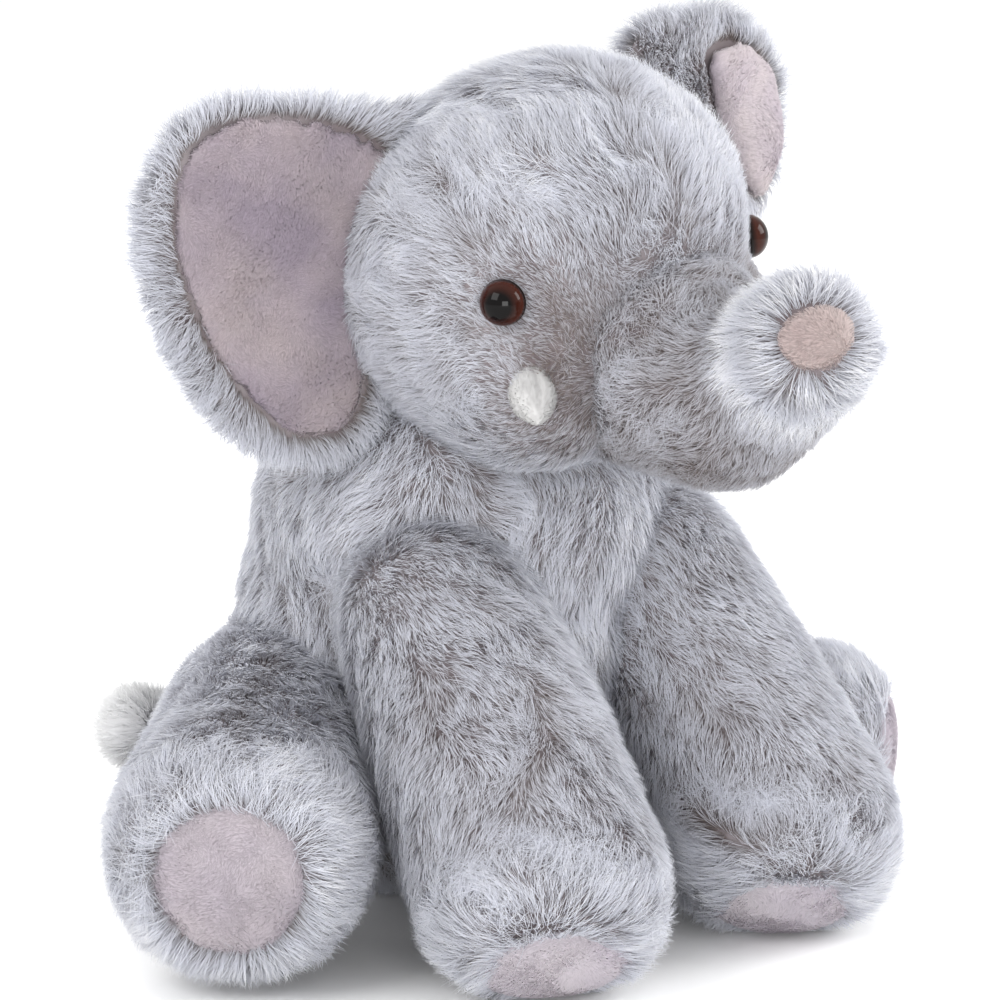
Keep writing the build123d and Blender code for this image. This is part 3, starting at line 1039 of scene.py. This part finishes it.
ear_parts = {}
for side in SIDES:
    centre, out, up, forward = ear_axes(side)
    place = centre - out * (EAR_MIDDLE[0] * MM) - up * (EAR_MIDDLE[1] * MM)
    place = place + Vector(EARS_SET_BACK[side]) * MM
    hub_mm = np.array(EAR_HUBS[side], float)
    ear = leaf(f"ear_{side}_cover", RIM_OUTLINES[side], hub_mm, place - forward * 0.002,
               (out, up, forward), 4.5, 6.0, 5.0)
    applied(ear, ("REMESH", {"mode": "VOXEL", "voxel_size": 2.0 * MM}),
            ("SMOOTH", {"factor": 0.5, "iterations": 6}))
    covered(ear, backing)
    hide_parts(f"ear_{side}_back")
    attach(ear, f"ear_{side}")
    lining = leaf(f"ear_{side}_lining_cushion", LINING_OUTLINES[side], hub_mm, place + forward * 0.0005,
                  (out, up, forward), 5.2, 1.0, 3.6)
    points = points_of(lining)
    ripple = drift(points, 24, 77 + len(side))[:, 0] * 0.5 * MM
    put_points(lining, points + np.array(forward) * ripple[:, None])
    applied(lining, ("REMESH", {"mode": "VOXEL", "voxel_size": 1.8 * MM}),
            ("SMOOTH", {"factor": 0.5, "iterations": 4}))
    lining.data.shade_smooth()
    lining.data.materials.clear()
    lining.data.materials.append(lining_naps[side])
    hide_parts(f"ear_{side}_lining")
    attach(lining, f"ear_{side}")
    ear_parts[side] = (ear, lining, place, out, up, forward, hub_mm)
    print("ear", side, "forward", [round(c, 2) for c in forward], "at", [round(c, 4) for c in place])

# %% [markdown]
# The rim's fur stands straight out round the edge, nearly white, and the back of the ear is brushed
# towards its edge. The rim is pale partly from its frosted tips and partly from painted light along the
# ear's edge. The lining's nap is only 2 mm long and is brushed outwards from the head.

# %% Ear pile
for seed, side in enumerate(SIDES):
    ear, lining, place, out, up, forward, hub_mm = ear_parts[side]
    hub = np.array(place + out * (hub_mm[0] * MM) + up * (hub_mm[1] * MM))
    way = np.array(forward)
    out_a, up_a = np.array(out), np.array(up)

    def from_hub(roots, hub=hub, way=way, out_a=out_a):
        off = roots - hub
        behind = (off @ way < 0)[:, None]
        return unit_rows(off - np.outer(off @ way, way)) + behind * out_a * 1.2

    def rim_share(centres, outline=RIM_OUTLINES[side], place=place, out_a=out_a, up_a=up_a, hub_mm=hub_mm):
        """How far out towards an outline a point is: 1 on it."""
        off = (centres - np.array(place)) / MM
        flat = np.stack([off @ out_a, off @ up_a], axis=1) - hub_mm
        outline = smooth_outline(outline, 180) - hub_mm
        angle = np.arctan2(outline[:, 1], outline[:, 0])
        order = np.argsort(angle)
        reach = np.linalg.norm(outline, axis=1)[order]
        edge = np.interp(np.arctan2(flat[:, 1], flat[:, 0]), angle[order], reach, period=2 * math.pi)
        return np.linalg.norm(flat, axis=1) / edge

    def off_lining(centres, way=way, hub=hub, rim_share=rim_share, inner=LINING_OUTLINES[side]):
        front = (centres - hub) @ way > -0.0005
        return np.where(front & (rim_share(centres, inner) < 0.97), 0.0, 1.0)

    def rim_long(roots, rim_share=rim_share):
        return 0.8 + 0.32 * smoothly(rim_share(roots), 0.7, 0.95)

    def rim_frost_and_painted_light(roots, rim_share=rim_share):
        # Paler towards the rim: partly frosted tips, partly painted light along the ear's edge.
        return -0.06 + 0.16 * smoothly(rim_share(roots), 0.75, 1.0)

    def rim_rise(roots, rim_share=rim_share):
        return 0.36 + 0.10 * smoothly(rim_share(roots), 0.85, 1.0)

    fur = grow(f"ear_{side}_pile", ear, long_pile, 8.5, 4.6, 0.24, 0.4, from_hub, off_lining, seed=51 + seed,
               long_at=rim_long, frost_and_painted_light_at=rim_frost_and_painted_light, rise_at=rim_rise, swirl=0.25, lock_mm=2.8)

    def lining_keep(centres, way=way, hub=hub):
        return np.where((centres - hub) @ way > 0.0005, 1.0, 0.0)

    def lining_comb(roots, out_a=out_a, up_a=up_a):
        return np.tile(out_a - 0.5 * up_a, (len(roots), 1)) + drift(roots, 20, 61) * 0.8

    nap = grow(f"ear_{side}_nap", lining, lining_naps[side], 1.3, 8.0, 0.26, 0.32, lining_comb, lining_keep,
               seed=56 + seed, lock_mm=1.6, lock=0.3, swirl=0.5)
    belong(f"ear_{side}", "pile_fur", fur)
    belong(f"ear_{side}", "short_pile", nap)

# %% [markdown]
# ## Legs
# Each leg is a stuffed tube that ends in a flat velboa sole. The fur above the sole is long and falls
# round it as a ruff. The front legs hang down from the shoulders and the hind legs lie out in front.

# %% Leg covers


# Under the toy's weight the front soles roll down and in, mm and directions as they come to rest.
SOLES_FACE = {"front_leg_right": (-0.35, -0.65, -0.67), "front_leg_left": (-0.42, -0.55, -0.72)}
SOLE_STANDS_OFF = 0.025             # from the middle of the foot


def leg(name, joint, foot_r, thick, root_r, seam_side, shift):
    """A leg cover, with where its sole is and which way that faces."""
    root = pivot(joint)
    sole, faces = flat_side(f"{name}_sole_pad", root)
    if name in SOLES_FACE:
        turned = Vector(SOLES_FACE[name]).normalized()
        sole += (turned - faces) * SOLE_STANDS_OFF
        faces = turned
    sole = sole + Vector(shift) * MM
    foot = sole - faces * (foot_r * 0.80)
    balls = row_of_balls([root, root.lerp(foot, 0.5), foot], (root_r, thick, foot_r))
    if name.startswith("hind"):
        balls.append(egg(root + Vector((-seam_side * 0.012, 0.004, 0.010)), (0.027, 0.030, 0.028)))
    cover = blended(f"{name}_cover", balls, 2.8)
    points = points_of(cover)
    over = (points - np.array(sole)) @ np.array(faces)
    points -= np.outer(np.maximum(over + 0.001, 0) * 0.92, np.array(faces))
    put_points(cover, points)
    run = (foot - root).normalized()
    across = run.cross(Vector((0, 0, 1))).normalized()
    seam = [root.lerp(foot, t) + across * seam_side * foot_r for t in np.linspace(0, 1, 8)]
    puffed(cover, [seam], most=1.6)
    above_floor(cover)
    covered(cover, backing)
    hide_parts(f"{name}_skin")
    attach(cover, name)
    return cover, root, foot, sole, faces


LEG_PARTINGS_RIGHT = (
    ((-67, -65, 93), (-66, -77, 82), (-69, -79, 72)),
    ((-43, -94, 81), (-47, -103, 70), (-59, -105, 60)),
)
LEG_PARTINGS_LEFT = (
    ((16, -88, 70), (19, -97, 63), (23, -100, 66)),
    ((11, -97, 37), (16, -112, 31), (22, -118, 34)),
)
leg_lines = {
    "front_leg_right": [[Vector(place) * MM for place in line] for line in LEG_PARTINGS_RIGHT],
    "front_leg_left": [[Vector(place) * MM for place in line] for line in LEG_PARTINGS_LEFT],
}
LEG_LOOKS = {
    "front_leg_right": ("lift", 0.0312, 0.0298, 0.0250, 0.0222, 0.0165, (0, 0, 0)),
    "front_leg_left": ("lift", 0.0305, 0.0288, 0.0250, 0.0205, 0.0158, (0, 0, 0)),
    "hind_leg_right": ("splay", 0.0332, 0.0325, 0.0330, 0.0208, 0.0218, (3.5, 0, 3.5)),
    "hind_leg_left": ("splay", 0.0295, 0.0295, 0.0310, 0.0205, 0.0205, (0, 0, -3.5)),
}
legs = {}
for name, (motion, foot_r, thick, root_r, pad_a, pad_b, shift) in LEG_LOOKS.items():
    made = leg(name, f"{name}_{motion}", foot_r, thick, root_r, SIDES[name.split("_")[-1]], shift)
    legs[name] = made + (pad_a, pad_b)
    print(name, "foot", [round(c, 4) for c in made[2]], "faces", [round(c, 2) for c in made[4]])

# %% [markdown]
# Round each sole the pile stands out sideways in a ruff, longest at the edge. Up the leg it is brushed
# towards the foot, and it is a little darker on top of the front feet. Round the shoulders and hips it is
# painted paler: painted light on the tops of the legs, where they meet the body.

# %% Soles and leg pile
for seed, (name, (cover, root, foot, sole, faces, pad_a, pad_b)) in enumerate(legs.items()):
    front = name.startswith("front")
    level = faces.cross(Vector((0, 0, 1))).normalized()
    cushion = disc(f"{name}_sole", sole, faces, level, seed, pad_a, pad_b, 4.5)
    above_floor(cushion, 0.0003)
    velboa = front_sole_painted_light_nap if front else sole_nap
    cushion.data.materials.append(velboa)
    fuzz = nap_on(f"{name}_sole_nap", cushion, velboa, faces, 1.4, 10.0, 81 + seed)
    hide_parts(f"{name}_sole_pad")
    sole_at, sole_way = np.array(sole), np.array(faces)
    root_at, foot_at = np.array(root), np.array(foot)

    def from_sole(roots, sole_at=sole_at, sole_way=sole_way, root_at=root_at):
        off = roots - sole_at
        radial = unit_rows(off - np.outer(off @ sole_way, sole_way))
        close = smoothly(off @ sole_way, -0.034, -0.010)[:, None]
        over = near(roots, root_at, 34)[:, None] * (1 - close)
        down_leg = unit_rows(sole_at - root_at + 0 * roots) + np.array([0, 0, -0.3])
        return radial * close + down_leg * (1 - close) * (1 - over) + np.array([0, -1.0, -0.1]) * over * 2

    def sole_keep(centres, sole_at=sole_at, sole_way=sole_way, pad_b=min(pad_a, pad_b)):
        off = centres - sole_at
        height = off @ sole_way
        flat = np.linalg.norm(off - np.outer(height, sole_way), axis=1)
        return np.where((flat < pad_b * 0.86) & (height > -0.006), 0.0, 1.0)

    def ruff_long(roots, sole_at=sole_at, sole_way=sole_way):
        lifted = 0.45 + 0.55 * smoothly(roots[:, 2], 0.002, 0.014)
        return lifted * (0.88 + 0.32 * smoothly((roots - sole_at) @ sole_way, -0.022, -0.004))

    def ruff_frost_and_painted_light(roots, sole_at=sole_at, sole_way=sole_way, front=front, foot_at=foot_at, root_at=root_at):
        close = smoothly((roots - sole_at) @ sole_way, -0.020, 0.0)
        top = smoothly(roots[:, 2] - foot_at[2], 0.0, 0.02) * (1 - close)
        # Round the leg's root the pile is painted paler: painted light on the shoulder or hip.
        leg_root_painted_light = (0.10 if front else 0.12) * near(roots, root_at, 38)
        return 0.05 + 0.11 * close - (0.04 if front else 0.0) * top + leg_root_painted_light

    fur = grow(f"{name}_pile", cover, long_pile, 9.0, 3.4, 0.24, 0.36, from_sole, sole_keep, seed=91 + seed,
               long_at=ruff_long, frost_and_painted_light_at=ruff_frost_and_painted_light, partings=leg_lines.get(name, ()))
    belong(name, "short_pile", cushion, fuzz)
    belong(name, "pile_fur", fur)

# %% [markdown]
# ## The tail
# The tail is a thin tube of the same fur with a tuft of long white pile at its end. Its root goes through
# the back seam and ends inside the body, where it is bare cloth.

# %% Tail
tail_root = pivot("tail_swing")
tuft_middle = middle("tail_tuft")
tail_bend = tail_root.lerp(tuft_middle, 0.5) + Vector((0, 0.003, 0.001))
TAIL_SEWN_IN = 0.013                 # metres of root inside the back seam
tail_inside = tail_root - Vector((0, TAIL_SEWN_IN, 0))
tail_places = [tail_inside, tail_root, tail_bend, tuft_middle]
tail = blended("tail_cover", row_of_balls(tail_places, (0.0062, 0.0054, 0.0048, 0.0042), 9), 1.2, 4)
covered(tail, backing)
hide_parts("tail_skin")


def down_tail(roots):
    return np.tile(np.array((tuft_middle - tail_root).normalized()), (len(roots), 1))


def outside_seam(centres):
    return np.where(centres[:, 1] > tail_root.y - 0.007, 1.0, 0.0)


tail_fur = grow("tail_pile", tail, long_pile, 6.5, 6.0, 0.26, 0.35, down_tail, outside_seam,
                frost_and_painted_light=0.25, seed=101)
tuft = blended("tail_tuft_core", [egg(tuft_middle, (0.0062, 0.0052, 0.0055))], 1.0, 3)
covered(tuft, tusk_felt)
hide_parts("tail_tuft")


def tuft_comb(roots):
    return unit_rows(roots - np.array(tuft_middle)) + down_tail(roots) * 1.0


tuft_fur = grow("tail_tuft_pile", tuft, tuft_pile, 10.5, 26.0, 0.26, 0.6, tuft_comb,
                frost_and_painted_light=0.3, seed=105, swirl=0.5)
belong("tail", "pile_fur", tail, tail_fur)
belong("tail", "tuft_fur", tuft, tuft_fur)

# %% [markdown]
# ## Eyes and tusks
# The eye is a lathe turning of the moulded dome with the narrow lip of its flange. Behind it are the
# ribbed shank, which goes through the skin, and the washer pressed on to it.

# %% Eyes
def lathe(name, outline, place, points_to, spokes=48):
    """Turn an outline of (radius, height) in mm round an axis."""
    across = points_to.orthogonal().normalized()
    other = points_to.cross(across)
    points, faces_of = [], []
    for radius, height in outline:
        for s in range(spokes):
            angle = 2 * math.pi * s / spokes
            around = across * math.cos(angle) + other * math.sin(angle)
            points.append(place + points_to * (height * MM) + around * (max(radius, 0.001) * MM))
    for row in range(len(outline) - 1):
        for s in range(spokes):
            t = (s + 1) % spokes
            faces_of.append((row * spokes + s, row * spokes + t, (row + 1) * spokes + t, (row + 1) * spokes + s))
    mesh = bpy.data.meshes.new(name)
    mesh.from_pydata([tuple(point) for point in points], [], faces_of)
    shape = bmesh.new()
    shape.from_mesh(mesh)
    bmesh.ops.remove_doubles(shape, verts=shape.verts, dist=0.00003)
    bmesh.ops.recalc_face_normals(shape, faces=shape.faces)
    shape.to_mesh(mesh)
    shape.free()
    made = new_object(name, mesh)
    made.data.shade_smooth()
    return made


EYE_R = 6.0
EYE_LIFT = 1.0                      # the dome stands this far out, clear of the clipped pile
for side, sign in SIDES.items():
    looks = (on_head(sign * 47, -31, 2) - head_middle).normalized()
    seat = head_middle + looks * (HEAD_R + EYE_LIFT * MM)
    dome = [(EYE_R * math.cos(a), EYE_R * 0.92 * math.sin(a)) for a in np.linspace(math.pi / 2, 0.02, 20)]
    lip = [(EYE_R + 0.1, -0.1), (EYE_R + 0.2, -0.5), (EYE_R, -0.9), (3.4, -1.2), (2.0, -1.6)]
    ribs = [(1.8 if i % 2 else 1.5, -2.0 - i * 0.5) for i in range(14)] + [(0.9, -9.4), (0.0, -9.6)]
    eye = lathe(f"eye_{side}_dome", dome + lip + ribs, seat, looks)
    eye.data.materials.append(eye_material(f"black acrylic {side}", seat, looks, EYE_R * MM))
    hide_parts(f"eye_{side}")
    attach(eye, "head")
    washer_middle = middle(f"eye_washer_{side}")
    ring = [(1.9, 0.5), (3.0, 0.7), (5.6, 0.5), (6.4, 0.1), (6.4, -0.3),
            (5.6, -0.5), (3.0, -0.3), (1.9, -0.5), (1.9, 0.5)]
    washer = lathe(f"eye_{side}_washer", ring, washer_middle, looks)
    washer.data.materials.append(washer_made)
    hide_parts(f"eye_washer_{side}")
    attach(washer, "head")

# %% [markdown]
# A tusk is a bullet of white brushed felt, closed by a seam down its front that ends in a point. A thin
# nap covers it, short enough to keep its shape.

# %% Tusks
for seed, (side, sign) in enumerate(SIDES.items()):
    root = on_head(sign * 41.5, -34, -18.5)
    points_to = (head_turned @ Vector((sign * 0.34, -0.52, -0.78))).normalized()
    outline = [(0.0, 12.4), (0.9, 11.9), (2.8, 10.6), (4.8, 8.5), (6.0, 6.0),
               (6.3, 3.0), (6.1, 0.8), (5.6, -2), (4.0, -4.5), (0.0, -5)]
    tusk = lathe(f"tusk_{side}_felt", outline, root + points_to * 0.001, points_to, 40)
    applied(tusk, ("SUBSURF", {"levels": 1, "render_levels": 1}))
    tusk_side = points_to.cross(Vector((0, 0, 1))).normalized()
    tusk_front = tusk_side.cross(points_to).normalized()
    seam_line = [root + points_to * (0.002 + 0.002 * i) + tusk_front * (0.0066 - 0.00006 * i * i)
                 for i in range(10)]
    pull_in(tusk, seam_line, 0.9, 1.1)
    tusk.data.shade_smooth()
    tusk.data.materials.append(tusk_felt)

    def to_root(roots, points_to=points_to):
        return np.tile(-np.array(points_to), (len(roots), 1))

    fuzz = grow(f"tusk_{side}_nap", tusk, tusk_felt, 1.0, 14.0, 0.14, 0.4, to_root, seed=111 + seed, lock=0.2)
    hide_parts(f"tusk_{side}")
    belong("head", "tusk_felt", tusk, fuzz)

# %% [markdown]
# ## Inside
# The fillings are hidden, but they are real parts of the toy. Each is a loose lump of fibre the shape of
# its cover, drawn in from it by the cloth's thickness, and the pellet bag is a knotted woven sack.

# %% Fillings
def filling(name, cover, node_name, body_name, gap_mm=4.0):
    lump = new_object(name, cover.data.copy())
    lump.data.materials.clear()
    lump.data.materials.append(polyester)
    applied(lump, ("DECIMATE", {"ratio": 0.3}))
    points = points_of(lump)
    lumps = drift(points, 14, 200)[:, 0] * 0.5
    put_points(lump, points - normals_of(lump) * ((gap_mm + np.abs(lumps)) * MM)[:, None])
    lump.data.shade_smooth()
    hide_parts(node_name)
    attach(lump, body_name)


filling("body_filling", body, "torso_stuffing", "torso")
filling("head_filling", head, "head_stuffing", "head")
filling("trunk_filling", trunk, "trunk_stuffing", "trunk")
for name, made in legs.items():
    filling(f"{name}_filling", made[0], f"{name}_stuffing", name)

neck_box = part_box("neck_stuffing")
neck_middle = (neck_box[0] + neck_box[1]) / 2
NECK_R = (neck_box[1].x - neck_box[0].x) / 2
neck_plug = blended("neck_plug", [egg(neck_middle, (NECK_R, NECK_R, NECK_R))], 2.5)
covered(neck_plug, polyester)
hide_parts("neck_stuffing")
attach(neck_plug, "neck")

bag_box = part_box("pellet_bag")
bag_middle = (bag_box[0] + bag_box[1]) / 2
bag_half = (bag_box[1] - bag_box[0]) / 2
bag_knot = egg(bag_middle + Vector((0, 0, bag_half.z)), (0.005, 0.005, 0.006))
bag = blended("pellet_sack", [egg(bag_middle, bag_half * 0.96), bag_knot], 1.6)
points = points_of(bag)
put_points(bag, points + normals_of(bag) * (drift(points, 5, 210)[:, 0] * 0.25 * MM)[:, None])
covered(bag, pellet_cloth)
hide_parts("pellet_bag")
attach(bag, "torso")
